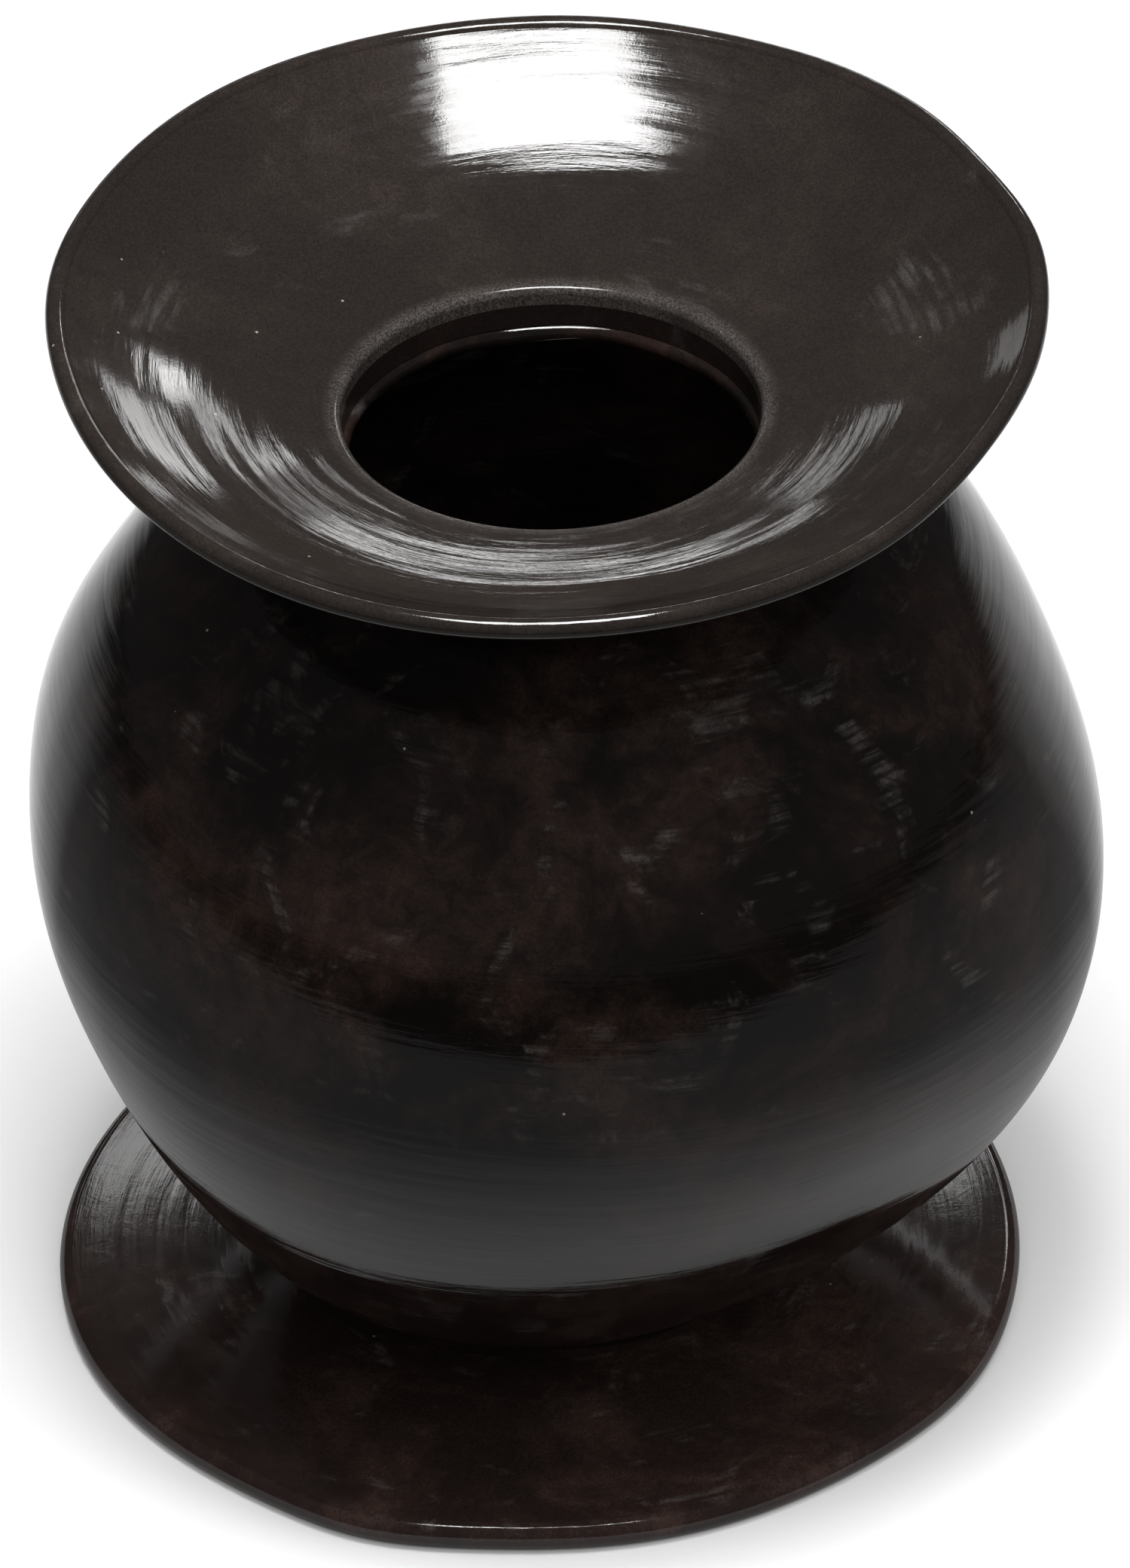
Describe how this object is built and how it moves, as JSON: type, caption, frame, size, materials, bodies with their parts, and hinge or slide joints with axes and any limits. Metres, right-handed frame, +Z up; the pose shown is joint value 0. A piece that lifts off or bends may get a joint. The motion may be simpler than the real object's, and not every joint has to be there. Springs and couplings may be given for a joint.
{
  "type": "black clay pot",
  "caption": "Large round black clay pot on a flat disc foot, with a short neck and a wide shallow dish around its open mouth.",
  "frame": {"origin": "on the ground under the centre of the round body, at the foot's underside", "axes": "+Z up through the body, the mouth and the dish; the disc foot sits a little off it towards -X"},
  "size_m": [0.3719, 0.372, 0.4036],
  "materials": {
    "body_clay": "burnished to a high gloss with a stone, smoke-fired black with brown clouds",
    "dish_clay": "burnished in rings, smoke-fired dark warm grey",
    "foot_clay": "burnished with visible strokes, smoke-fired black",
    "joint_clay": "smoothed by finger and lightly burnished"
  },
  "bodies": {
    "root": {"base_disc": "foot_clay", "base_edge_coil": "foot_clay", "foot_ring": "joint_clay", "bottom_bowl": "body_clay", "lower_wall_band": "body_clay", "lower_belly_band": "body_clay", "upper_belly_band": "body_clay", "lower_shoulder_band": "body_clay", "upper_shoulder_band": "body_clay", "lower_crown_band": "body_clay", "upper_crown_band": "body_clay", "neck_collar": "joint_clay", "inner_dish_band": "dish_clay", "outer_dish_band": "dish_clay", "rim_coil": "dish_clay"}
  },
  "joints": []
}
